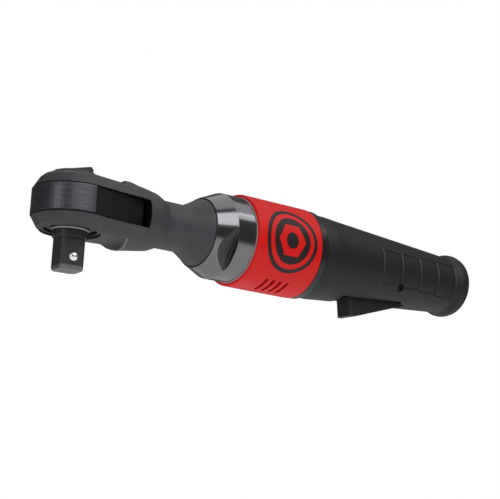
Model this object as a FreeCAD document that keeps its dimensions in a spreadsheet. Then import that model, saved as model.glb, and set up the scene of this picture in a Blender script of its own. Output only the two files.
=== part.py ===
"""Half inch drive air ratchet, built as a parametric document.

Frame: the origin is the centre of the square drive's end face, +Z points back up the
output axis, and +X runs along the handle to the air inlet.  Lengths are in millimetres.
Bodies are drawn about the crossing of the tool axis and the output axis, and their
placement lifts them to the height of the tool axis.
"""
import FreeCAD, Part
import math
import os
import Sketcher

os.makedirs("parts", exist_ok=True)
doc = FreeCAD.newDocument("air_ratchet")
V = FreeCAD.Vector

SIZES = {
    # output head
    "axis_height": 33.24, "square_side": 12.7, "square_turn": -5.0,
    "collar_radius": 9.4, "journal_radius": 12.0, "top_journal_radius": 10.0,
    "yoke_radius": 20.37, "arm_radius": 19.9, "arm_top_radius": 15.2, "window_front": 2.0,
    "window_back": 36.5, "recess_radius": 15.3, "relief_radius": 27.6,
    "teeth": 72, "tooth_tip": 15.3, "tooth_root": 15.95, "pawl_pivot": 10.5, "pawl_swing": 5.5,
    "pawl_half": 5.1, "pawl_pin_radius": 1.8, "stem_radius": 4.5, "plunger_radius": 1.5,
    "knob_radius": 11.6, "ball_radius": 2.8, "ball_hole": 2.87, "ball_spot": -5.8,
    # crank and reduction gear
    "crank_throw": 2.35, "crank_pin_radius": 2.6, "crank_radius": 5.0, "bush_radius": 7.6,
    "bushing_radius": 4.6, "gear_module": 0.6, "sun_teeth": 12,
    "planet_teeth": 15, "ring_teeth": 42, "gear_width": 7.6,
    "ring_outer": 15.0, "carrier_radius": 12.0, "planet_pin_radius": 1.8,
    # housings
    "barrel_radius": 18.0, "neck_front": 51.0, "neck_back": 65.0,
    "flare_radius": 18.1, "nut_front": 76.0, "nut_radius": 23.4, "nut_back": 98.4,
    "nut_flat": 20.1, "nut_flat_turn": 30.0, "casing_radius": 22.6, "liner_radius": 16.5,
    "liner_bore": 12.9, "liner_shift": 1.6, "rotor_radius": 11.2, "shaft_radius": 4.3,
    "sleeve_front": 98.7, "sleeve_back": 142.6, "sleeve_radius": 25.3, "sleeve_bore": 23.4,
    "vent_first": 114.2, "vent_pitch": 4.6, "vent_width": 2.1, "ring_back": 147.9,
    # handle, throttle and inlet
    "grip_front": 148.2, "grip_bore": 12.0, "core_radius": 11.95, "grip_end": 268.6,
    "bay_first": 193.0, "bay_pitch": 15.65, "pin_radius": 1.9,
    "valve_x": 192.0, "valve_bore": 4.6,
    "stem_pin_radius": 1.4, "inlet_radius": 8.4, "inlet_bore": 5.7,
}

dims = doc.addObject("Spreadsheet::Sheet", "dims")
for row, (alias, number) in enumerate(SIZES.items(), start=1):
    dims.set(f"A{row}", alias)
    dims.set(f"B{row}", str(number))
    dims.setAlias(f"B{row}", alias)
doc.recompute()


def size(alias):
    """Read one driving dimension back from the sheet."""
    return float(getattr(dims, alias))


def number(entry):
    """Value of a coordinate given as a number or as (alias, offset)."""
    if isinstance(entry, tuple):
        return size(entry[0]) + entry[1]
    return float(entry)


def origin_plane(body, role):
    return next(f for f in body.Origin.OriginFeatures if f.Role == role)


def new_body(label, x=0.0, y=0.0, z=0.0, turn=0.0):
    """Body whose local origin is lifted to the tool axis, turned about +Z."""
    body = doc.addObject("PartDesign::Body", "body_" + label)
    body.Label = label
    body.Placement = FreeCAD.Placement(V(number(x), y, number(z)), FreeCAD.Rotation(V(0, 0, 1), turn))
    lift = number(z)
    body.setExpression("Placement.Base.z", f"dims.axis_height + ({lift:.6g})")
    if isinstance(x, tuple):
        body.setExpression("Placement.Base.x", f"dims.{x[0]} + ({x[1]:.6g})")
    return body


def new_sketch(body, role, offset=0.0, spin=0.0):
    sketch = body.newObject("Sketcher::SketchObject", f"{body.Label}_sketch")
    sketch.AttachmentSupport = (origin_plane(body, role), [""])
    sketch.MapMode = "FlatFace"
    sketch.AttachmentOffset = FreeCAD.Placement(V(0, 0, offset), FreeCAD.Rotation(V(0, 0, 1), spin))
    return sketch


def outline(sketch, corners):
    """Closed outline through corners (x, y) or (x, y, corner radius)."""
    spots = [V(number(c[0]), number(c[1]), 0) for c in corners]
    radii = [c[2] if len(c) > 2 else 0.0 for c in corners]
    count = len(spots)
    ends = []
    for i in range(count):
        before = (spots[i - 1] - spots[i]).normalize()
        after = (spots[(i + 1) % count] - spots[i]).normalize()
        half = before.getAngle(after) / 2
        run = radii[i] / math.tan(half) if radii[i] else 0.0
        ends.append((spots[i] + before * run, spots[i] + after * run, half, before, after))
    geometry = []
    starts = []
    for i in range(count):
        enter, leave, half, before, after = ends[i]
        if radii[i]:
            middle = (before + after).normalize()
            centre = spots[i] + middle * (radii[i] / math.sin(half))
            geometry.append(Part.Arc(enter, centre - middle * radii[i], leave))
        starts.append(len(geometry))
        geometry.append(Part.LineSegment(leave, ends[(i + 1) % count][0]))
    sketch.addGeometry(geometry, False)
    for i, corner in enumerate(corners):
        if radii[i]:
            continue
        sketch.addConstraint(
            Sketcher.Constraint("Coincident", (starts[i] - 1) % len(geometry), 2, starts[i], 1)
        )
        for kind, entry in (("DistanceX", corner[0]), ("DistanceY", corner[1])):
            if isinstance(entry, tuple) and number(entry) > 0:
                made = sketch.addConstraint(Sketcher.Constraint(kind, -1, 1, starts[i], 1, number(entry)))
                sketch.setExpression(f"Constraints[{made}]", f"dims.{entry[0]} + ({entry[1]:.6g})")
    return sketch


def ring(sketch, radius, x=0.0, y=0.0):
    """Circle of a bound radius."""
    place = sketch.addGeometry(Part.Circle(V(x, y, 0), V(0, 0, 1), number(radius)), False)
    made = sketch.addConstraint(Sketcher.Constraint("Radius", place, number(radius)))
    if isinstance(radius, tuple):
        sketch.setExpression(f"Constraints[{made}]", f"dims.{radius[0]} + ({radius[1]:.6g})")
    return sketch


def feature(body, kind, sketch, **settings):
    made = body.newObject(f"PartDesign::{kind}", f"{body.Label}_{kind.lower()}")
    made.Profile = sketch
    for key, entry in settings.items():
        if isinstance(entry, tuple) and isinstance(entry[0], str):
            setattr(made, key, number(entry))
            made.setExpression(key, f"dims.{entry[0]} + ({entry[1]:.6g})")
        else:
            setattr(made, key, entry)
    sketch.Visibility = False
    return made


def spun(body, kind, corners, axis="H_Axis", angle=360.0, role="XZ_Plane", spin=0.0):
    """Revolution or Groove of an outline about the sketch's own axis."""
    sketch = outline(new_sketch(body, role, spin=spin), corners)
    return feature(body, kind, sketch, ReferenceAxis=(sketch, [axis]), Angle=angle, Midplane=angle < 360)


def turned(label, corners, **place):
    """Part turned about the tool axis, drawn as (x, radius)."""
    body = new_body(label, **place)
    spun(body, "Revolution", corners)
    return body


def tube(label, front, back, inner, outer, **place):
    return turned(label, [(front, inner), (back, inner), (back, outer), (front, outer)], **place)


def disc_z(label, low, high, outer, **place):
    """Plain cylinder along Z."""
    body = new_body(label, **place)
    sketch = ring(new_sketch(body, "XY_Plane", low), outer)
    feature(body, "Pad", sketch, Length=high - low)
    return body


def cut_box(body, low, high):
    """Pocket a box given by two opposite corners."""
    sketch = new_sketch(body, "XY_Plane", high[2])
    outline(sketch, [(low[0], low[1]), (high[0], low[1]), (high[0], high[1]), (low[0], high[1])])
    return feature(body, "Pocket", sketch, Length=high[2] - low[2])


def cut_hole(body, role, radius, start, depth, x=0.0, y=0.0, reverse=False):
    """Round pocket from a plane offset `start`, against the plane's normal unless reversed."""
    sketch = ring(new_sketch(body, role, start), radius, x, y)
    return feature(body, "Pocket", sketch, Length=depth, Reversed=reverse)


def polar(radius, degrees):
    return (radius * math.cos(math.radians(degrees)), radius * math.sin(math.radians(degrees)))


def turned_about(spot, pivot, degrees):
    c, s = math.cos(math.radians(degrees)), math.sin(math.radians(degrees))
    dx, dy = spot[0] - pivot[0], spot[1] - pivot[1]
    return (pivot[0] + c * dx - s * dy, pivot[1] + s * dx + c * dy)


# ---------------------------------------------------------------- ratchet housing
housing = new_body("ratchet_housing")
spun(housing, "Revolution", [
    (0, -14), (("arm_top_radius", -0.2), -14, 0.8), (16.9, -12.3, 2.5), (("arm_radius", 0), -7.2, 0.4),
    (("arm_radius", 0), 7.2, 0.4), (16.9, 12.3, 2.5), (("arm_top_radius", -0.2), 14, 0.8), (0, 14),
], axis="V_Axis")


def fork_section(top, shoulder, side):
    """Cross-section of the fork: flat top and bottom, sloping shoulders, upright sides."""
    half = [(top, -14), (shoulder, -12.3), (side, -7.2), (side, 7.2), (shoulder, 12.3), (top, 14)]
    return half + [(-y, z) for y, z in reversed(half)]


fork_front = outline(new_sketch(housing, "YZ_Plane", 0.0), fork_section(15.0, 16.9, 19.9))
fork_back = outline(new_sketch(housing, "YZ_Plane", 36.0), fork_section(8.6, 11.2, 14.9))
fork = housing.newObject("PartDesign::AdditiveLoft", "fork_loft")
fork.Profile = fork_front
fork.Sections = [fork_back]
fork.Ruled = True
spun(housing, "Revolution", [
    (21.5, 0), (21.5, 16.6), (26.0, ("barrel_radius", 0), 1.5),
    (29.0, 18.0, 4), (33.0, 17.25, 8), (40.0, 16.2, 12),
    (45.2, 15.3, 6), (("neck_front", 0), 12.65, 0.5), (("neck_back", 0), 12.65, 3), (70.0, 15.2, 5),
    (74.2, 17.6, 2), (75.8, ("flare_radius", 0)), (88.1, ("flare_radius", 0)), (88.1, 20.2), (91.0, 20.2),
    (91.0, 16.9), (96.0, 16.9), (96.0, 0),
])
# clearance for the socket under and over the front of the barrel
for side in (-1, 1):
    spun(housing, "Groove", [
        (0, side * 14), (("relief_radius", -1.4), side * 14, 4.5), (("relief_radius", 0.8), side * 19.5),
        (0, side * 19.5),
    ], axis="V_Axis")
# slot between the arms, open at the front and at both sides
window = outline(new_sketch(housing, "XZ_Plane"), [
    (-30, -7.35), (("window_back", 0), -7.35, 1.6), (("window_back", 0), 7.35, 1.2), (-30, 7.35),
])
feature(housing, "Pocket", window, Length=60.0, Midplane=True)
# bores of the output drive: lower arm, ring recess, ring groove, upper arm
cut_hole(housing, "XY_Plane", ("journal_radius", 0.05), 0.0, 20.0)
cut_hole(housing, "XY_Plane", ("recess_radius", 0), -9.8, 10.0)
cut_hole(housing, "XY_Plane", 15.85, -11.75, 1.2)
cut_hole(housing, "XY_Plane", ("top_journal_radius", 0.05), 0.0, 20.0, reverse=True)
# crank bore and gear chamber along the tool axis
spun(housing, "Groove", [(30.0, 0), (30.0, 7.6), (74.6, 7.6), (74.6, 15.0), (97.0, 15.0), (97.0, 0)])

# ---------------------------------------------------------------- yoke


def inner_teeth(count, tip, root, tip_half, root_half):
    """Corners of a ring of inward teeth whose spaces are centred on whole pitches."""
    pitch = 360.0 / count
    spots = []
    for k in range(count):
        spots.append(polar(tip, k * pitch - tip_half))
        spots.append(polar(root, k * pitch - root_half))
        spots.append(polar(root, k * pitch + root_half))
        spots.append(polar(tip, k * pitch + tip_half))
    return spots


yoke = new_body("drive_yoke")
band = [polar(size("yoke_radius"), a) for a in range(90, 271, 5)]
band = [(size("window_front"), math.sqrt(size("yoke_radius") ** 2 - size("window_front") ** 2))] + band
band.append((band[0][0], -band[0][1]))
tail = [(2.0, -18.6), (12.0, -17.4), (34.9, -12.0, 1.5), (34.9, -9.4), (22.0, -9.4, 3)]
tail += [(x, -y) + tuple(r) for x, y, *r in reversed(tail)]
blank = new_sketch(yoke, "XY_Plane", -7.05)
outline(blank, band + tail)
feature(yoke, "Pad", blank, Length=14.1)
for side in (-1, 1):
    spun(yoke, "Groove", [(19.3, side * 7.6), (20.9, side * 6.0), (20.9, side * 7.6)], axis="V_Axis")
teeth = new_sketch(yoke, "XY_Plane", 8.0)
outline(teeth, inner_teeth(int(size("teeth")), size("tooth_tip"), size("tooth_root"), 1.6, 0.6))
feature(yoke, "Pocket", teeth, Length=16.0)

# ---------------------------------------------------------------- output drive
turn = size("square_turn")
anvil = new_body("drive_anvil", turn=turn)
spun(anvil, "Revolution", [
    (0, -17.0), (8.5, -17.0), (8.6, -16.6), (9.0, -13.5), (9.4, -13.1), (9.4, -10.4), (12.0, -10.4),
    (12.0, -7.2), (14.9, -7.1), (14.9, 7.1), (10.0, 7.2), (10.0, 13.9), (0, 13.9),
], axis="V_Axis")
half = size("square_side") / 2
square = new_sketch(anvil, "XY_Plane", -33.24)
outline(square, [
    (-half + 1.3, -half), (half - 1.3, -half), (half, -half + 1.3), (half, half - 1.3),
    (half - 1.3, half), (-half + 1.3, half), (-half, half - 1.3), (-half, -half + 1.3),
])
feature(anvil, "Pad", square, Length=17.0)
# end of the square turned to a rounded lead
spun(anvil, "Groove", [(7.2, -34), (11, -34), (11, -31.2), (8.4, -31.2)], axis="V_Axis")
cut_hole(anvil, "XZ_Plane", ("ball_hole", 0), 7.0, 8.2, y=-26.74)
cut_box(anvil, (5.2, -16, -5.2), (16, 16, 5.2))
cut_hole(anvil, "XY_Plane", ("stem_radius", 0.05), 14.0, 19.0)
cut_box(anvil, (0, -3.8, -2.2), (6, 3.8, 2.2))
cut_hole(anvil, "XY_Plane", ("pawl_pin_radius", 0), 7.05, 14.1, x=10.5)

pawl = new_body("ratchet_pawl", turn=turn)
pivot = (size("pawl_pivot"), 0.0)
nose = []
for k in (11, 10, 9):
    for radius, spread in ((15.0, 1.1), (15.5, 0.25), (15.5, -0.25), (15.0, -1.1)):
        nose.append(turned_about(polar(radius, 5 * k + spread), pivot, size("pawl_swing")))
upper = [(6.2, 8.5), (6.95, 12.1)] + nose + [(11.9, 6.0), (13.4, 2.2)]
lower = [(x, -y) for x, y in reversed(upper)]
shape = new_sketch(pawl, "XY_Plane", -5.1)
outline(shape, upper + lower)
feature(pawl, "Pad", shape, Length=("pawl_half", 5.1))
cut_hole(pawl, "XY_Plane", ("pawl_pin_radius", 0.05), 5.2, 10.4, x=10.5)
disc_z("pawl_pin", -7.0, 7.0, ("pawl_pin_radius", 0), turn=turn).Placement.Base = V(
    *polar(size("pawl_pivot"), turn), size("axis_height"))

# selector knob with its stem, and the sprung plunger that tips the pawl
knob = new_body("reverse_knob", turn=turn)
spun(knob, "Revolution", [
    (0, -4.6), (4.5, -4.6), (4.5, 14.2), (11.0, 14.2), (("knob_radius", 0), 14.8), (("knob_radius", 0), 15.3),
    (10.6, 16.3, 0.8), (0, 16.6),
], axis="V_Axis")
tab = outline(new_sketch(knob, "XZ_Plane", -3.4), [
    (-10.8, 15.2), (-11.2, 15.9), (7.2, 20.6, 0.6), (8.6, 19.4, 0.6), (8.9, 15.2),
])
feature(knob, "Pad", tab, Length=6.8)
cut_hole(knob, "YZ_Plane", ("plunger_radius", 0.05), 5.0, 7.6)
plunger = new_body("selector_plunger", turn=turn)
spun(plunger, "Revolution", [(1.9, 0), (1.9, 1.5), (4.9, 1.5), (5.75, 1.05), (6.05, 0)])
spring = new_body("plunger_spring", turn=turn)
spun(spring, "Revolution", [(-2.5, 0.8), (1.0, 0.8), (1.0, 1.35), (-2.5, 1.35)])

ball = new_body("socket_ball", z=-26.74, turn=turn)
arc = new_sketch(ball, "XY_Plane")
centre = V(0, size("ball_spot"), 0)
reach = V(0, size("ball_radius"), 0)
arc.addGeometry([
    Part.ArcOfCircle(Part.Circle(centre, V(0, 0, 1), size("ball_radius")), -math.pi / 2, math.pi / 2),
    Part.LineSegment(centre + reach, centre - reach),
], False)
for end in ((0, 2, 1, 1), (1, 2, 0, 1)):
    arc.addConstraint(Sketcher.Constraint("Coincident", *end))
feature(ball, "Revolution", arc, ReferenceAxis=(arc, ["V_Axis"]), Angle=360.0)
coil = new_body("ball_spring", z=-26.74, turn=turn)
spun(coil, "Revolution", [(1.4, -1.8), (2.1, -1.8), (2.1, 1.0), (1.4, 1.0)], axis="V_Axis", role="XY_Plane")

washer = disc_z("thrust_washer", -11.5, -10.5, 15.2)
cut_hole(washer, "XY_Plane", ("collar_radius", 0.2), -10.5, 1.0)
clip = disc_z("retaining_ring", -12.8, -11.8, 15.75)
cut_hole(clip, "XY_Plane", 13.4, -11.8, 1.0)
gap_turn = 196.0
for side in (-1, 1):
    ear = ring(new_sketch(clip, "XY_Plane", -12.8), 2.1, *polar(13.1, gap_turn + 17 * side))
    feature(clip, "Pad", ear, Length=1.0)
gap = new_sketch(clip, "XY_Plane", -11.8)
outline(gap, [
    polar(10, gap_turn - 9), polar(17, gap_turn - 8),
    polar(17, gap_turn + 8), polar(10, gap_turn + 9),
])
feature(clip, "Pocket", gap, Length=1.0)
for side in (-1, 1):
    cut_hole(clip, "XY_Plane", 0.9, -11.8, 1.0, *polar(12.8, gap_turn + 17 * side))

# ---------------------------------------------------------------- crank
throw = size("crank_throw")
crank = turned("crankshaft", [
    (37.2, 0), (37.2, 7.2), (40.6, 7.2), (41.0, ("crank_radius", 0)), (75.2, ("crank_radius", 0)),
    (75.2, ("carrier_radius", 0)), (79.2, ("carrier_radius", 0)), (79.2, 0),
])
crank_pin = ring(new_sketch(crank, "YZ_Plane", 23.2), ("crank_pin_radius", 0), 0.0, throw)
feature(crank, "Pad", crank_pin, Length=14.5)
carrier_pcd = size("gear_module") * (size("sun_teeth") + size("planet_teeth")) / 2
for k in range(3):
    py, pz = polar(carrier_pcd, 90 + 120 * k)
    cut_hole(crank, "YZ_Plane", ("planet_pin_radius", 0), 79.2, 3.4, py, pz)
bushing = new_body("drive_bushing", z=throw)
spun(bushing, "Revolution", [
    (23.8, 2.65), (30.2, 2.65), (30.2, 3.9), (29.0, 4.4),
    (27.0, ("bushing_radius", 0)), (25.0, 4.4), (23.8, 3.9),
])
tube("front_crank_bush", 42.0, 50.0, ("crank_radius", 0.04), ("bush_radius", 0))
tube("rear_crank_bush", 62.5, 73.5, ("crank_radius", 0.04), ("bush_radius", 0))


# ---------------------------------------------------------------- planetary gear
def involute_teeth(count, module, tip, root, thin, inward=False):
    """Corners of an involute gear outline, tooth 0 centred on the sketch's +x axis."""
    pitch_radius = module * count / 2
    base = pitch_radius * math.cos(math.radians(20))

    def flare(radius):
        ratio = max(radius / base, 1.0)
        return math.sqrt(ratio * ratio - 1) - math.acos(1 / ratio)

    half_pitch = math.pi / (2 * count)
    slim = thin / (2 * pitch_radius)
    sign = -1 if inward else 1
    levels = [root + (tip - root) * k / 4 for k in range(5)]
    side = []
    for radius in levels:
        if inward:
            half_width = half_pitch - slim + (flare(radius) - flare(pitch_radius))
        else:
            half_width = half_pitch - slim - (flare(radius) - flare(pitch_radius))
        side.append((radius, max(half_width, 0.004)))
    spots = []
    for k in range(count):
        middle = 2 * math.pi * k / count
        for radius, width in side:
            spots.append((radius * math.cos(middle - width), radius * math.sin(middle - width)))
        for radius, width in reversed(side):
            spots.append((radius * math.cos(middle + width), radius * math.sin(middle + width)))
    return spots


module = size("gear_module")
sun_radius = module * size("sun_teeth") / 2
planet_radius = module * size("planet_teeth") / 2
ring_radius = module * size("ring_teeth") / 2
rotor = new_body("rotor")
pinion = new_sketch(rotor, "YZ_Plane", 79.5, spin=90.0)
outline(pinion, involute_teeth(12, module, sun_radius + 0.5, sun_radius - 0.62, 0.07))
feature(rotor, "Pad", pinion, Length=9.5)
spun(rotor, "Revolution", [
    (88.8, 0), (88.8, 3.6), (92.0, 3.6), (92.0, 4.3), (101.2, 4.3), (101.2, ("rotor_radius", 0)),
    (134.8, ("rotor_radius", 0)), (134.8, 4.0), (141.6, 4.0), (141.6, 0),
])
slots = []
for k in range(5):
    slot = new_sketch(rotor, "YZ_Plane", 101.2, spin=72.0 * k)
    outline(slot, [(-0.8, 5.0), (0.8, 5.0), (0.8, 12), (-0.8, 12)])
    feature(rotor, "Pocket", slot, Length=33.6, Reversed=True)
    vane = new_body(f"vane_{k + 1}")
    blade = new_sketch(vane, "YZ_Plane", 101.4, spin=72.0 * k)
    outline(blade, [(-0.72, 5.1), (0.72, 5.1), (0.72, 11.1), (-0.72, 11.1)])
    feature(vane, "Pad", blade, Length=33.2)
ring_gear = new_body("ring_gear")
rim = ring(new_sketch(ring_gear, "YZ_Plane", 79.6), ("ring_outer", 0))
feature(ring_gear, "Pad", rim, Length=("gear_width", 0.6))
inside = new_sketch(ring_gear, "YZ_Plane", 79.0, spin=90.0)
outline(inside, involute_teeth(42, module, ring_radius + 0.62, ring_radius - 0.5, -0.07))
feature(ring_gear, "Pocket", inside, Length=10.0, Reversed=True)
for k in range(3):
    turn_k = 90.0 + 120.0 * k
    py, pz = polar(carrier_pcd, turn_k)
    planet = new_body(f"planet_gear_{k + 1}")
    planet.Placement.Base.y = py
    planet.setExpression("Placement.Base.z", f"dims.axis_height + ({pz:.9g})")
    # mesh phase: a tooth space faces the sun tooth that points at this planet
    gear = new_sketch(planet, "YZ_Plane", 79.8, spin=turn_k)
    outline(gear, involute_teeth(15, module, planet_radius + 0.5, planet_radius - 0.62, 0.07))
    feature(planet, "Pad", gear, Length=7.2)
    cut_hole(planet, "YZ_Plane", ("planet_pin_radius", 0.04), 87.5, 8.0)
    pin = new_body(f"planet_pin_{k + 1}")
    shank = ring(new_sketch(pin, "YZ_Plane", 75.9), ("planet_pin_radius", 0), py, pz)
    feature(pin, "Pad", shank, Length=11.3)
tube("gear_spacer", 88.0, 95.9, 13.2, ("ring_outer", 0))

# ---------------------------------------------------------------- air motor
tube("front_bearing", 97.0, 100.6, ("shaft_radius", 0), 8.0)
turned("front_end_plate", [
    (96.3, 8.0), (100.6, 8.0), (100.6, 5.0), (101.1, 5.0),
    (101.1, ("liner_radius", 0)), (96.3, ("liner_radius", 0)),
])
liner = turned("cylinder_liner", [
    (101.1, 0), (134.9, 0), (134.9, ("liner_radius", 0)), (101.1, ("liner_radius", 0)),
])
shift = ring(new_sketch(liner, "YZ_Plane", 101.0), ("liner_bore", 0), 0.0, size("liner_shift"))
feature(liner, "Pocket", shift, Length=40.0, Reversed=True)
turned("rear_end_plate", [
    (134.9, 5.0), (136.6, 5.0), (136.6, 8.0), (140.6, 8.0), (140.6, ("liner_radius", 0)),
    (134.9, ("liner_radius", 0)),
])
tube("rear_bearing", 136.6, 140.6, 4.0, 8.0)

# ---------------------------------------------------------------- casing, nut, sleeve
casing = turned("motor_casing", [
    (91.2, 17.0), (96.2, 17.0), (96.2, 16.55), (140.8, 16.55), (140.8, 9.0), (144.0, 9.0), (144.0, 3.5),
    (186.0, 3.5), (186.0, 0), (256.0, 0),
    (256.0, ("core_radius", 0)), (("grip_front", 0), ("core_radius", 0)),
    (("grip_front", -0.3), ("casing_radius", 0)), (("nut_back", 0.6), ("casing_radius", 0)),
    (("nut_back", 0.6), 20.7), (91.2, 20.7),
])
nut = turned("clamp_nut", [
    (("nut_front", 0), 18.3), (91.1, 18.3), (91.1, 20.8), (("nut_back", 0), 20.8), (("nut_back", 0), 23.0),
    (("nut_back", -0.4), ("nut_radius", 0)), (86.2, ("nut_radius", 0), 2), (("nut_front", 0), 18.9),
])
spun(nut, "Groove", [(88.0, 18.0), (91.2, 18.0), (91.2, 20.4), (88.0, 20.4)])
depth = -size("nut_flat")
for side in (0, 180):
    flat = new_sketch(nut, "YZ_Plane", 75.9, spin=side + size("nut_flat_turn"))
    outline(flat, [(depth, -15), (depth, 15), (-26, 15), (-26, -15)])
    feature(nut, "Pocket", flat, Length=11.3, Reversed=True)
sleeve = turned("motor_sleeve", [
    (("sleeve_front", 0), 22.75), (("sleeve_front", 2.4), 22.75),
    (("sleeve_front", 2.4), ("sleeve_bore", 0)), (("sleeve_back", 0), ("sleeve_bore", 0)),
    (("sleeve_back", 0), ("sleeve_radius", 0), 0.5), (("sleeve_front", 0), ("sleeve_radius", 0), 1.5),
])
for k in range(4):
    x = size("vent_first") + k * size("vent_pitch")
    for side in (-1, 1):
        vent = new_sketch(sleeve, "XY_Plane")
        tilt = FreeCAD.Rotation(V(1, 0, 0), -69.5 * side)
        vent.AttachmentOffset = FreeCAD.Placement(V(0, 0, 0), tilt)
        half = size("vent_width") / 2
        outline(vent, [
            (x - half, side * 22), (x + half, side * 22), (x + half, side * 27), (x - half, side * 27),
        ])
        feature(sleeve, "Groove", vent, ReferenceAxis=(vent, ["H_Axis"]), Angle=27.0, Midplane=True)
tube("exhaust_muffler", 104.0, 140.0, ("casing_radius", 0.04), ("sleeve_bore", -0.05))
turned("sleeve_ring", [
    (142.9, 22.65), (("ring_back", 0), 22.65), (("ring_back", 0), 24.4), (147.0, 25.0), (142.9, 25.0),
])

# ---------------------------------------------------------------- grip
grip = turned("handle_grip", [
    (("grip_front", 0.1), ("grip_bore", 0)), (("grip_end", -1.2), ("grip_bore", 0)), (("grip_end", 0), 12.6),
    (("grip_end", 0), 14.6, 2), (266.4, 17.9, 3), (263.0, 19.0, 3), (260.4, 19.0, 2.5), (256.6, 17.2, 3),
    (164.0, 23.25, 30), (156.0, 23.9, 12), (("grip_front", 0.1), 23.7, 0.8),
])


def throttle_slot(body, half, rear_half):
    """Slot in the underside for the lever, deeper where the pivot is and narrower behind it."""
    cut_box(body, (180.0, -half, -26), (218.9, half, -5.0))
    cut_box(body, (218.8, -rear_half, -26), (222.8, rear_half, -5.0))
    cut_box(body, (172.6, -half, -26), (181.0, half, -14.6))


for piece, half, rear_half in ((grip, 9.3, 6.6), (casing, 11.3, 8.6)):
    throttle_slot(piece, half, rear_half)
    cut_hole(piece, "XZ_Plane", ("pin_radius", 0.0), 30.0, 60.0, x=210.2, y=-11.0)
for start in (30.0, -14.6):
    cut_hole(grip, "XZ_Plane", ("pin_radius", 0.5), start, 15.4, x=210.2, y=-11.0)
# shallow finger bays down both flanks, with a narrow rib standing between each two
bay_depth = 0.4
for k in range(4):
    front = size("bay_first") + k * size("bay_pitch") + 0.45
    back = front + size("bay_pitch") - 0.9
    near, far = (23.25 - (x - 164) * 0.0653 - bay_depth for x in (front, back))
    for side in (-1, 1):
        bay = new_sketch(grip, "XY_Plane")
        tilt = FreeCAD.Rotation(V(1, 0, 0), -3.5 * side)
        bay.AttachmentOffset = FreeCAD.Placement(V(0, 0, 0), tilt)
        outline(bay, [(front, side * near), (back, side * far), (back, side * 26), (front, side * 26)])
        feature(grip, "Groove", bay, ReferenceAxis=(bay, ["H_Axis"]), Angle=54.0 + 5.3 * k, Midplane=True)

# ---------------------------------------------------------------- throttle
lever = new_body("throttle_lever")
heel = [(214.0, -6.2, 4), (205.0, -6.2, 3), (196.0, -13.2, 4), (186.5, -17.8)]
blade_side = outline(new_sketch(lever, "XZ_Plane", -6.2), [
    (180.0, -19.6), (181.3, -30.3), (184.8, -30.4, 1.2),
    (218.9, -20.0, 1.5), (221.6, -17.2, 2), (220.5, -9.0, 4),
] + heel)
blade = feature(lever, "Pad", blade_side, Length=12.4)
doc.recompute()
nose_edges = [
    f"Edge{i}" for i, edge in enumerate(blade.Shape.Edges, start=1)
    if edge.BoundBox.XMax < 181.5 and edge.BoundBox.ZLength > 5
]
nose = lever.newObject("PartDesign::Fillet", "lever_nose")
nose.Base = (blade, nose_edges)
nose.Radius = 2.2
# wider shoulder that fills the slot above the blade
shoulder = outline(new_sketch(lever, "XZ_Plane", -8.9), [
    (183.5, -19.0), (217.8, -16.4), (217.8, -9.4, 2),
] + heel)
feature(lever, "Pad", shoulder, Length=17.8)
cut_hole(lever, "XZ_Plane", ("pin_radius", 0.05), 10.0, 20.0, x=210.2, y=-11.0)
pin = new_body("lever_pin")
feature(pin, "Pad", ring(new_sketch(pin, "XZ_Plane", -14.5), ("pin_radius", 0), 210.2, -11.0), Length=29.0)

# valve: bushing, stem with its head, spring and cap, in a bore across the casing core
cut_hole(casing, "XY_Plane", ("valve_bore", 0), 10.4, 16.0, x=192.0)
valve_guide = disc_z("valve_guide", -5.0, 0.0, ("valve_bore", 0), x=("valve_x", 0))
cut_hole(valve_guide, "XY_Plane", ("stem_pin_radius", 0.06), 0.1, 6.0)
stem = disc_z("valve_stem", -14.0, 0.4, ("stem_pin_radius", 0), x=("valve_x", 0))
feature(stem, "Pad", ring(new_sketch(stem, "XY_Plane", 0.3), 3.6), Length=1.8)
valve_spring = disc_z("valve_spring", 2.2, 8.0, 3.0, x=("valve_x", 0))
cut_hole(valve_spring, "XY_Plane", 2.2, 8.0, 6.0)
disc_z("valve_cap", 8.1, 10.4, ("valve_bore", 0), x=("valve_x", 0))

# ---------------------------------------------------------------- air inlet
cut_hole(casing, "YZ_Plane", ("inlet_radius", 0), 256.5, 9.5)
cut_hole(casing, "YZ_Plane", 3.5, 250.0, 56.0)
turned("inlet_bushing", [
    (247.2, 4.0), (260.5, 4.0), (260.5, ("inlet_bore", 0)), (272.5, ("inlet_bore", 0)),
    (273.2, 6.4), (273.2, 9.4),
    (272.4, 10.2), (258.2, 10.2), (256.2, 9.6), (256.2, ("inlet_radius", 0)), (247.2, ("inlet_radius", 0)),
])
tube("inlet_seal", 256.1, 258.0, 10.3, 11.9)
screen = turned("inlet_screen", [(258.5, 0), (260.4, 0), (260.4, 3.95), (258.5, 3.95)])
cut_hole(screen, "YZ_Plane", 0.7, 260.5, 3.0)
for k in range(6):
    cut_hole(screen, "YZ_Plane", 0.6, 260.5, 3.0, *polar(2.3, 60 * k))

doc.recompute()

# ---------------------------------------------------------------- checks and files
for item in doc.Objects:
    if "Invalid" in item.State or "Error" in item.State:
        raise RuntimeError(f"{item.Label} ({item.TypeId}) failed: {item.State}")
subparts = [item for item in doc.Objects if item.TypeId == "PartDesign::Body"]
for item in subparts:
    if item.Shape.isNull() or not item.Shape.isValid() or len(item.Shape.Solids) != 1:
        raise RuntimeError(f"{item.Label} has no single valid solid")
for item in subparts:
    box = item.Shape.BoundBox
    print(f"{item.Label:18s} {item.Shape.Volume:10.1f}  x {box.XMin:7.2f} {box.XMax:7.2f}"
          f"  y {box.YMin:7.2f} {box.YMax:7.2f}  z {box.ZMin:7.2f} {box.ZMax:7.2f}")
    item.Shape.exportStep(f"parts/{item.Label}.step")
print(len(subparts), "sub-parts")
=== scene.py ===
import math

import bpy
from mathutils import Matrix, Vector

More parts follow.
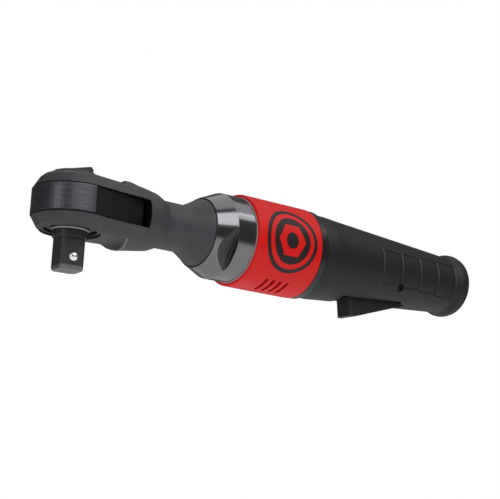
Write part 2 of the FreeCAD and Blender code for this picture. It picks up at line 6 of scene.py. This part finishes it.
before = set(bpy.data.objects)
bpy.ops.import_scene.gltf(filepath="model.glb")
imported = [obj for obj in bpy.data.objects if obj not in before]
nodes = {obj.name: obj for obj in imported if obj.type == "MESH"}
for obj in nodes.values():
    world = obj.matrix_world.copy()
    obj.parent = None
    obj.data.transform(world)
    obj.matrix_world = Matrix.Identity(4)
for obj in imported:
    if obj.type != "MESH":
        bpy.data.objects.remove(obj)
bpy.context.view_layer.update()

MM = 0.001
AXIS_Z = 33.24 * MM
HOUSING_SLOT_HALF = 7.37 * MM
HOUSING_SLOT_END = 36.8 * MM
RELIEF_RADIUS = 28.5 * MM
RELIEF_TOP = AXIS_Z - 13.8 * MM
YOKE_BAND_RADIUS = 20.2 * MM
YOKE_BAND_END = 2.0 * MM
YOKE_BAND_HALF = 6.6 * MM
FIRST_RIB = 193.1 * MM
RIB_PITCH = 15.65 * MM
RIB_COUNT = 5
COLLAR_RADIUS = 9.4 * MM
COLLAR_RIM_Z = 20.1 * MM
NUT_FLAT_DEPTH = 20.1 * MM
NUT_FLAT_TURN = math.radians(30)
NUT_FLAT_FRONT = 77.0 * MM
NUT_FLAT_BACK = 87.1 * MM
NUT_RIM = 97.9 * MM
SLEEVE_LIP_BACK = 98.9 * MM
SLEEVE_LIP_RADIUS = 23.72 * MM
BADGE_X = 121.5 * MM
# arc length per radian of the badge, a little under the sleeve's own 25.3 mm radius
BADGE_WRAP = 23.53 * MM
BADGE_RING = (15.0 * MM, 17.3 * MM)
BADGE_DISC = 12.3 * MM
BADGE_NUT_HALF = 8.0 * MM
BADGE_NUT_HOLE = 4.2 * MM


# ---------------------------------------------------------------- shader writing
class Value:
    """A shader socket that can be used in a Python expression."""

    def __init__(self, finish, socket):
        self.finish = finish
        self.socket = socket

    def math(self, operation, *others):
        return self.finish.node("ShaderNodeMath", {"operation": operation}, [self, *others])

    def __add__(self, other):
        return self.math("ADD", other)

    def __sub__(self, other):
        return self.math("SUBTRACT", other)

    def __mul__(self, other):
        return self.math("MULTIPLY", other)

    def __pow__(self, other):
        return self.math("POWER", other)

    def __radd__(self, other):
        return self + other

    def __rmul__(self, other):
        return self * other

    def __rsub__(self, other):
        return self.finish.node("ShaderNodeMath", {"operation": "SUBTRACT"}, [other, self])

    def __neg__(self):
        return 0.0 - self

    def __abs__(self):
        return self.math("ABSOLUTE")

    def over(self, edge, soft=0.0):
        """1 where the value is above the edge, with a soft step."""
        if not soft:
            return self.math("GREATER_THAN", edge)
        return self.ramp(edge - soft, edge + soft, 0.0, 1.0)

    def under(self, edge, soft=0.0):
        return 1.0 - self.over(edge, soft)

    def ramp(self, low, high, start, end):
        return self.finish.node(
            "ShaderNodeMapRange", {"interpolation_type": "SMOOTHSTEP"}, [self, low, high, start, end]
        )

    def larger(self, other):
        return self.math("MAXIMUM", other)

    def angle_to(self, other):
        return self.math("ARCTAN2", other)


class Finish:
    """A material with one Principled shader, written node by node."""

    def __init__(self, name, **fixed):
        self.material = bpy.data.materials.new(name)
        self.material.use_nodes = True
        self.tree = self.material.node_tree
        self.shader = next(n for n in self.tree.nodes if n.type == "BSDF_PRINCIPLED")
        for socket, setting in fixed.items():
            self.shader.inputs[socket.replace("_", " ")].default_value = setting
        self.place = self.node("ShaderNodeTexCoord", {}, {}, out="Object")

    def node(self, kind, settings, inputs, out=0):
        made = self.tree.nodes.new(kind)
        for key, setting in settings.items():
            setattr(made, key, setting)
        pairs = inputs.items() if isinstance(inputs, dict) else enumerate(inputs)
        for key, entry in pairs:
            self.feed(made.inputs[key], entry)
        return Value(self, made.outputs[out])

    def feed(self, socket, entry):
        if isinstance(entry, Value):
            self.tree.links.new(entry.socket, socket)
        else:
            socket.default_value = entry

    def noise(self, scale, detail=2.0, rough=0.5, stretch=(1, 1, 1)):
        spot = self.node("ShaderNodeMapping", {}, {"Vector": self.place, "Scale": stretch})
        return self.node(
            "ShaderNodeTexNoise", {}, {"Vector": spot, "Scale": scale, "Detail": detail, "Roughness": rough}
        )

    def axes(self):
        split = self.node("ShaderNodeSeparateXYZ", {}, [self.place])
        outputs = split.socket.node.outputs
        return [Value(self, outputs[i]) for i in range(3)]

    def mix(self, factor, first, second):
        return self.node(
            "ShaderNodeMix", {"data_type": "RGBA"}, {0: factor, 6: first, 7: second}, out=2
        )

    def rounded_edges(self, radius):
        return self.node("ShaderNodeBevel", {"samples": 6}, {"Radius": radius})

    def surface(self, colour=None, roughness=None, height=None, depth=0.0, strength=1.0, edge=0.0):
        shader = self.shader.inputs
        if colour is not None:
            self.feed(shader["Base Color"], colour)
        if roughness is not None:
            self.feed(shader["Roughness"], roughness)
        normal = self.rounded_edges(edge) if edge else None
        if height is not None:
            inputs = {"Height": height, "Distance": depth, "Strength": strength}
            if normal is not None:
                inputs["Normal"] = normal
            normal = self.node("ShaderNodeBump", {}, inputs)
        if normal is not None:
            self.feed(shader["Normal"], normal)
        return self.material


def grey(level, tint=0.0):
    return (level, level, level * (1 + tint), 1.0)


class Enamel(Finish):
    """Charcoal enamel over a fine shot-blasted casting."""

    def __init__(self, name, level):
        super().__init__(name, Specular_IOR_Level=0.35)
        self.broad = self.noise(60, 3.0)
        self.fine = self.noise(2600, 2.0)
        patches = self.broad.ramp(0.35, 0.65, 0.0, 1.0)
        self.colour = self.mix(patches, grey(level * 0.92, 0.14), grey(level * 1.1, 0.14))

    def coat(self, colour):
        rough = 0.44 + 0.08 * self.broad + 0.10 * self.fine
        return self.surface(colour, rough, self.fine, 0.00004, 0.5, edge=0.0005)


def knob_finish():
    enamel = Enamel("knob_enamel", 0.034)
    return enamel.coat(enamel.colour)


def housing_finish():
    """Charcoal enamel outside, painted near-black shade in the slot, and a painted highlight on the edge
    round the relief under the barrel.
    """
    finish = Enamel("charcoal_enamel", 0.05)
    x, y, z = finish.axes()
    reach = (x * x + y * y) ** 0.5
    # painted highlight: a paler grey line on the edge round the relief, patchy with the broad noise
    edge = abs(reach - RELIEF_RADIUS).under(0.5 * MM, 0.3 * MM) * z.under(RELIEF_TOP)
    colour = finish.mix(edge * (0.35 + 0.5 * finish.broad), finish.colour, grey(0.22, 0.05))
    # painted shade: the faces inside the slot are painted near black
    slot = abs(z - AXIS_Z).under(HOUSING_SLOT_HALF) * x.under(HOUSING_SLOT_END)
    return finish.coat(finish.mix(slot, colour, grey(0.003)))


def yoke_finish():
    """Black oxide forging, painted deeper black as shade where it shows in the slot window, with its round
    outer band ground bright in fine level lines.
    """
    finish = Finish("ground_yoke", Specular_IOR_Level=0.22)
    x, y, z = finish.axes()
    reach = (x * x + y * y) ** 0.5
    band = reach.over(YOKE_BAND_RADIUS) * x.under(YOKE_BAND_END)
    band = band * abs(z - AXIS_Z).under(YOKE_BAND_HALF)
    lines = finish.noise(700, 3.0, 0.6, (0.15, 0.15, 6))
    patch = finish.noise(90, 2.0)
    steel = finish.mix(lines.ramp(0.3, 0.7, 0.0, 1.0), (0.085, 0.080, 0.092, 1), (0.17, 0.16, 0.185, 1))
    # near-black: the oxide's own dark tone, deepened as painted shade so the slot window reads black
    black = finish.mix(patch, grey(0.004), grey(0.007))
    finish.feed(finish.shader.inputs["Metallic"], band)
    rough = band * (0.10 * lines - 0.20 + 0.05 * patch) + 0.52
    return finish.surface(finish.mix(band, black, steel), rough, lines, 0.00003, 0.35, edge=0.0003)


def plain_steel(name, level, roughness, metallic=1.0):
    """Bare or darkened steel in faint patches."""
    finish = Finish(name, Metallic=metallic)
    patch = finish.noise(240, 3.0)
    colour = finish.mix(patch, grey(level * 0.85), grey(level * 1.12))
    return finish.surface(colour, roughness - 0.05 + 0.1 * patch, patch, 0.00002, 0.3, edge=0.0002)


def moulded(name, level, grain=1500, rough=0.46):
    """Black moulded composite with a fine spark grain."""
    finish = Finish(name, Specular_IOR_Level=0.4)
    cells = finish.noise(grain, 3.0, 0.6)
    broad = finish.noise(35, 2.0)
    colour = finish.mix(broad, grey(level * 0.85, 0.06), grey(level * 1.15, 0.06))
    return finish.surface(colour, rough + 0.1 * cells - 0.05 * broad, cells, 0.00006, 0.45, edge=0.0004)


def grip_finish():
    """Black moulded composite with a painted highlight along its finger ribs, brightest towards the top."""
    finish = Finish("grip_moulding", Specular_IOR_Level=0.28)
    x, y, z = finish.axes()
    cells = finish.noise(1500, 3.0, 0.6)
    broad = finish.noise(35, 2.0)
    colour = finish.mix(broad, grey(0.012, 0.14), grey(0.017, 0.14))
    # painted highlight: a pale line on each finger rib
    rib_highlight = 0.0
    for k in range(RIB_COUNT):
        rib_highlight = rib_highlight + abs(x - (FIRST_RIB + RIB_PITCH * k)).under(0.45 * MM, 0.25 * MM)
    # the painted rib highlight is brightest towards the top and fades out below
    height = (z - AXIS_Z).ramp(-9 * MM, 5 * MM, 0.1, 1.0) * (z - AXIS_Z).under(9.0 * MM, 1.0 * MM)
    colour = finish.mix(rib_highlight * height * (0.5 + 0.5 * broad), colour, grey(0.11, 0.04))
    return finish.surface(colour, 0.46 + 0.1 * cells - 0.05 * broad, cells, 0.00006, 0.45, edge=0.0004)


def anvil_finish():
    """Black oxide steel, with a painted highlight on the rim of the collar, and rubbed bright along the end
    of the square.
    """
    finish = Finish("black_oxide", Metallic=0.35)
    x, y, z = finish.axes()
    reach = (x * x + y * y) ** 0.5
    patch = finish.noise(240, 3.0)
    # painted highlight: a pale ring on the collar's rim
    rim = reach.over(COLLAR_RADIUS - 0.25 * MM) * reach.under(COLLAR_RADIUS + 0.2 * MM)
    rim = rim * abs(z - COLLAR_RIM_Z).under(0.45 * MM, 0.2 * MM)
    lead = z.under(2.0 * MM, 0.6 * MM) * 0.35
    colour = finish.mix(patch, grey(0.030, 0.06), grey(0.042, 0.06))
    # the collar's painted highlight joined with the wear at the end of the square
    highlight_and_wear = rim.larger(lead * (0.6 + 0.6 * patch))
    colour = finish.mix(highlight_and_wear, colour, grey(0.42, 0.02))
    return finish.surface(colour, 0.36 + 0.1 * patch, patch, 0.00002, 0.3, edge=0.0004)


def brass(name):
    """Plain brass, a little tarnished."""
    finish = Finish(name, Metallic=1.0)
    patch = finish.noise(300, 3.0)
    colour = finish.mix(patch, (0.5, 0.35, 0.14, 1), (0.62, 0.46, 0.2, 1))
    return finish.surface(colour, 0.3 + 0.1 * patch)


def nut_finish():
    """Polished black nickel, with wrench flats left duller as milled and a painted highlight on the back
    rim.
    """
    finish = Finish("black_nickel", Metallic=1.0)
    x, y, z = finish.axes()
    lines = finish.noise(300, 3.0, 0.5, (8, 1, 1))
    marks = finish.noise(500, 3.0, 0.6, (0.3, 2, 2))
    depth = abs(y * math.cos(NUT_FLAT_TURN) + (z - AXIS_Z) * math.sin(NUT_FLAT_TURN))
    flat = abs(depth - NUT_FLAT_DEPTH).under(0.15 * MM, 0.05 * MM)
    flat = flat * x.under(NUT_FLAT_BACK) * x.over(NUT_FLAT_FRONT)
    polished = finish.mix(lines, grey(0.155, 0.05), grey(0.20, 0.05))
    milled = finish.mix(marks, grey(0.045, 0.05), grey(0.085, 0.05))
    # painted highlight: a pale, glossy band on the back rim
    rim = x.over(NUT_RIM)
    colour = finish.mix(rim, finish.mix(flat, polished, milled), grey(0.55, 0.02))
    rough = flat * (0.22 + 0.08 * marks) + rim * 0.15 + 0.13 + 0.06 * lines
    return finish.surface(colour, rough, lines, 0.00001, 0.2, edge=0.0004)


def sleeve_finish():
    """Red enamel, bare at the front lip, with a round badge: a ring, and a disc that shows a hexagon nut."""
    finish = Finish("red_sleeve", Specular_IOR_Level=0.25)
    x, y, z = finish.axes()
    across = x - BADGE_X
    up = (z - AXIS_Z).angle_to(-y) * BADGE_WRAP
    reach = (across * across + up * up) ** 0.5
    soft = 0.08 * MM
    ring = reach.over(BADGE_RING[0], soft) * reach.under(BADGE_RING[1], soft)
    flats = [
        abs(across * math.cos(math.radians(a)) + up * math.sin(math.radians(a)))
        for a in (90, 150, 30)
    ]
    hexagon = flats[0].larger(flats[1]).larger(flats[2])
    nut = hexagon.under(BADGE_NUT_HALF, soft) * reach.over(BADGE_NUT_HOLE, soft)
    disc = reach.under(BADGE_DISC, soft)
    badge = ring.larger(disc * (1.0 - nut)) * y.under(0.0)
    radius = (y * y + (z - AXIS_Z) ** 2.0) ** 0.5
    lip = x.under(SLEEVE_LIP_BACK) * radius.under(SLEEVE_LIP_RADIUS)
    fine = finish.noise(1800, 2.0)
    broad = finish.noise(40, 2.0)
    red = finish.mix(broad, (0.64, 0.004, 0.003, 1), (0.71, 0.006, 0.004, 1))
    colour = finish.mix(badge, red, (0.022, 0.012, 0.012, 1))
    colour = finish.mix(lip, colour, grey(0.5))
    return finish.surface(colour, 0.42 + 0.08 * fine, fine, 0.00003, 0.3, edge=0.0003)


finishes = {
    "ratchet_housing": housing_finish(),
    "reverse_knob": knob_finish(),
    "drive_yoke": yoke_finish(),
    "drive_anvil": anvil_finish(),
    "socket_ball": plain_steel("bright_ball", 0.85, 0.24),
    "retaining_ring": plain_steel("spring_steel", 0.08, 0.4),
    "thrust_washer": plain_steel("washer_steel", 0.06, 0.5),
    "clamp_nut": nut_finish(),
    "motor_sleeve": sleeve_finish(),
    "sleeve_ring": moulded("ring_moulding", 0.010, rough=0.3),
    "handle_grip": grip_finish(),
    "throttle_lever": moulded("lever_moulding", 0.014),
    "lever_pin": plain_steel("pin_steel", 0.1, 0.4),
    "motor_casing": plain_steel("cast_casing", 0.12, 0.5, 0.9),
    "exhaust_muffler": moulded("dark_felt", 0.01, grain=900, rough=0.8),
    "inlet_bushing": plain_steel("inlet_steel", 0.3, 0.35),
    "inlet_seal": moulded("rubber_seal", 0.02, rough=0.6),
    "inlet_screen": brass("screen_brass"),
    "front_crank_bush": brass("bush_brass"),
}
bright = plain_steel("machined_steel", 0.5, 0.32)
for name, node in nodes.items():
    node.data.materials.clear()
    node.data.materials.append(finishes.get(name, bright))

# ---------------------------------------------------------------- camera, light and floor
azimuth, elevation, roll = (math.radians(a) for a in (-37.119, -12.439, 2.858))
level_forward = Vector((-math.sin(azimuth), math.cos(azimuth), 0.0))
forward = level_forward * math.cos(elevation) - Vector((0, 0, math.sin(elevation)))
level_right = forward.cross(Vector((0, 0, 1))).normalized()
level_up = level_right.cross(forward)
right = level_right * math.cos(roll) + level_up * math.sin(roll)
up = level_up * math.cos(roll) - level_right * math.sin(roll)
target = Vector((112.0, 0.0, 30.264)) * MM
lens = bpy.data.cameras.new("camera")
lens.lens = 93.6
lens.sensor_width = 36.0
lens.clip_start = 0.01
camera = bpy.data.objects.new("camera", lens)
bpy.context.scene.collection.objects.link(camera)
facing = Matrix((right, up, -forward)).transposed().to_4x4()
camera.matrix_world = Matrix.Translation(target - forward * 710.46 * MM) @ facing
bpy.context.scene.camera = camera


def softbox(name, spot, aim, width, height, power):
    lamp = bpy.data.lights.new(name, "AREA")
    lamp.shape = "RECTANGLE"
    lamp.size = width
    lamp.size_y = height
    lamp.energy = power
    holder = bpy.data.objects.new(name, lamp)
    bpy.context.scene.collection.objects.link(holder)
    holder.location = spot
    holder.rotation_euler = (Vector(aim) - Vector(spot)).to_track_quat("-Z", "Y").to_euler()
    holder.visible_camera = False


middle = (0.12, 0.0, 0.03)
softbox("key_box", (0.06, -0.76, 0.64), middle, 1.05, 0.60, 5.5)
softbox("overhead_box", (0.30, 0.05, 0.9), (0.2, 0.0, 0.0), 1.5, 0.8, 3.5)
softbox("side_box", (0.86, -0.60, 0.92), (0.09, 0.0, 0.055), 0.46, 0.27, 0.8)
softbox("left_box", (-0.95, -0.35, 0.1), middle, 0.25, 0.7, 1.2)
softbox("floor_bounce", (0.1, -0.1, -0.24), (0.1, -0.1, 1.0), 1.5, 1.5, 3.0)

bpy.ops.object.select_all(action="DESELECT")
bpy.ops.mesh.primitive_plane_add(size=8.0, location=(0.1, 0.0, -0.25))
floor = bpy.context.object
floor.name = "floor"
pale = Finish("pale_floor")
floor.data.materials.append(pale.surface(pale.mix(pale.noise(3), grey(0.8), grey(0.82)), 0.7))

world = bpy.data.worlds.new("studio")
bpy.context.scene.world = world
world.use_nodes = True
tree = world.node_tree
tree.nodes.clear()
output = tree.nodes.new("ShaderNodeOutputWorld")
blend = tree.nodes.new("ShaderNodeMixShader")
path = tree.nodes.new("ShaderNodeLightPath")
room = tree.nodes.new("ShaderNodeBackground")
room.inputs["Color"].default_value = (1, 1, 1, 1)
room.inputs["Strength"].default_value = 0.12
white = tree.nodes.new("ShaderNodeBackground")
white.inputs["Color"].default_value = (1, 1, 1, 1)
tree.links.new(path.outputs["Is Camera Ray"], blend.inputs[0])
tree.links.new(room.outputs[0], blend.inputs[1])
tree.links.new(white.outputs[0], blend.inputs[2])
tree.links.new(blend.outputs[0], output.inputs[0])
bpy.context.scene.view_settings.view_transform = "Standard"
